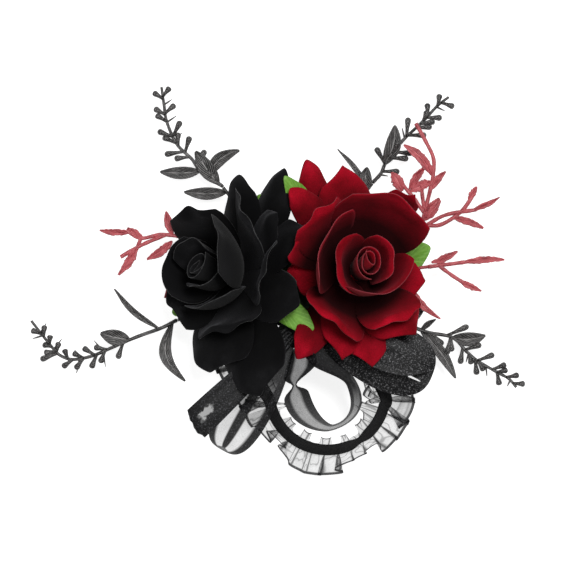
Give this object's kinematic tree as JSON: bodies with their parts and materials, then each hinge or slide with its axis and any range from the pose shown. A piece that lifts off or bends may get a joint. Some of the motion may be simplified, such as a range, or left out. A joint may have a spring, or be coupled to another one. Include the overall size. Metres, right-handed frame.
{
  "type": "wrist corsage",
  "caption": "Wrist corsage: red and black velvet roses with plastic sprigs, an organza bow and a ruffled elastic wristband that folds and stretches.",
  "frame": {"origin": "middle of the felt backing's flat underside", "axes": "+Z out of the flowers, away from the wrist; +X to the right across both roses; -Y towards the wristband as it lies flat"},
  "size_m": [0.1987, 0.1567, 0.0551],
  "materials": {
    "felt": "black felt",
    "pad": "plain black",
    "tape": "waxed crepe tape",
    "elastic": "ribbed knitted elastic",
    "ruffle": "sheer organza with dark hem",
    "organza": "sheer black organza with woven edge",
    "wire": "lacquered wire",
    "black_plastic": "satin, pale streaks",
    "coral_plastic": "satin coral red",
    "red_velvet": "cotton velvet with cut edges",
    "black_velvet": "cotton velvet with cut edges",
    "calyx": "green coated cloth"
  },
  "bodies": {
    "base": {"felt_backing": "felt", "base_pad": "pad", "stem_binding": "tape", "wristband_anchor": "elastic", "red_rose_stem": "wire", "black_rose_stem": "wire", "upper_left_sprig_root_wire": "black_plastic", "upper_right_sprig_root_wire": "black_plastic", "left_sprig_root_wire": "black_plastic", "right_sprig_root_wire": "black_plastic", "left_spray_root_wire": "coral_plastic", "upper_right_spray_root_wire": "coral_plastic", "right_spray_root_wire": "coral_plastic", "red_rose_bud": "red_velvet", "red_rose_heart_petals": "red_velvet", "red_rose_cup_petals": "red_velvet", "red_rose_middle_petals": "red_velvet", "red_rose_outer_petals": "red_velvet", "red_rose_guard_petals": "red_velvet", "red_rose_calyx": "calyx", "black_rose_bud": "black_velvet", "black_rose_heart_petals": "black_velvet", "black_rose_cup_petals": "black_velvet", "black_rose_middle_petals": "black_velvet", "black_rose_outer_petals": "black_velvet", "black_rose_guard_petals": "black_velvet", "black_rose_calyx": "calyx", "ribbon_knot": "organza", "ribbon_left_lower_loop": "organza", "ribbon_left_upper_loop": "organza", "ribbon_right_lower_loop": "organza", "ribbon_right_upper_loop": "organza", "ribbon_centre_loop": "organza"},
    "band_sides": {"wristband_left_strand": "elastic", "wristband_right_strand": "elastic", "ruffle_left_lower": "ruffle", "ruffle_left_upper": "ruffle", "ruffle_right_lower": "ruffle", "ruffle_right_upper": "ruffle"},
    "band_front": {"wristband_front": "elastic", "ruffle_front_lower": "ruffle", "ruffle_front_upper": "ruffle"},
    "upper_left_sprig": {"upper_left_sprig": "black_plastic"},
    "upper_right_sprig": {"upper_right_sprig": "black_plastic"},
    "left_sprig": {"left_sprig": "black_plastic"},
    "right_sprig": {"right_sprig": "black_plastic"},
    "left_spray": {"left_spray": "coral_plastic"},
    "upper_right_spray": {"upper_right_spray": "coral_plastic"},
    "right_spray": {"right_spray": "coral_plastic"}
  },
  "joints": [
    {"name": "wristband_fold", "type": "hinge", "parent": "base", "child": "band_sides", "pos_m": [0, -0.01, 0.0023], "axis": [1, 0, 0], "range_deg": [0, 75]},
    {"name": "wristband_stretch", "type": "slide", "parent": "band_sides", "child": "band_front", "axis": [0, -1, 0], "range_m": [0, 0.018], "stiffness_N_per_m": 120, "deforming": ["wristband_left_strand", "wristband_right_strand", "ruffle_left_lower", "ruffle_left_upper", "ruffle_right_lower", "ruffle_right_upper"]},
    {"name": "upper_left_sprig_bend", "type": "hinge", "parent": "base", "child": "upper_left_sprig", "pos_m": [-0.0304, 0.0394, 0.0084], "axis": [0, 0, 1], "range_deg": [-20, 20]},
    {"name": "upper_right_sprig_bend", "type": "hinge", "parent": "base", "child": "upper_right_sprig", "pos_m": [0.031, 0.041, 0.0084], "axis": [0, 0, 1], "range_deg": [-20, 20]},
    {"name": "left_sprig_bend", "type": "hinge", "parent": "base", "child": "left_sprig", "pos_m": [-0.049, -0.0152, 0.0084], "axis": [0, 0, 1], "range_deg": [-20, 20]},
    {"name": "right_sprig_bend", "type": "hinge", "parent": "base", "child": "right_sprig", "pos_m": [0.047, -0.0178, 0.0084], "axis": [0, 0, 1], "range_deg": [-20, 20]},
    {"name": "left_spray_bend", "type": "hinge", "parent": "base", "child": "left_spray", "pos_m": [-0.0486, 0.019, 0.0154], "axis": [0, 0, 1], "range_deg": [-15, 15]},
    {"name": "upper_right_spray_bend", "type": "hinge", "parent": "base", "child": "upper_right_spray", "pos_m": [0.05, 0.0216, 0.0154], "axis": [0, 0, 1], "range_deg": [-15, 15]},
    {"name": "right_spray_bend", "type": "hinge", "parent": "base", "child": "right_spray", "pos_m": [0.0534, 0.0066, 0.0154], "axis": [0, 0, 1], "range_deg": [-15, 15]}
  ]
}
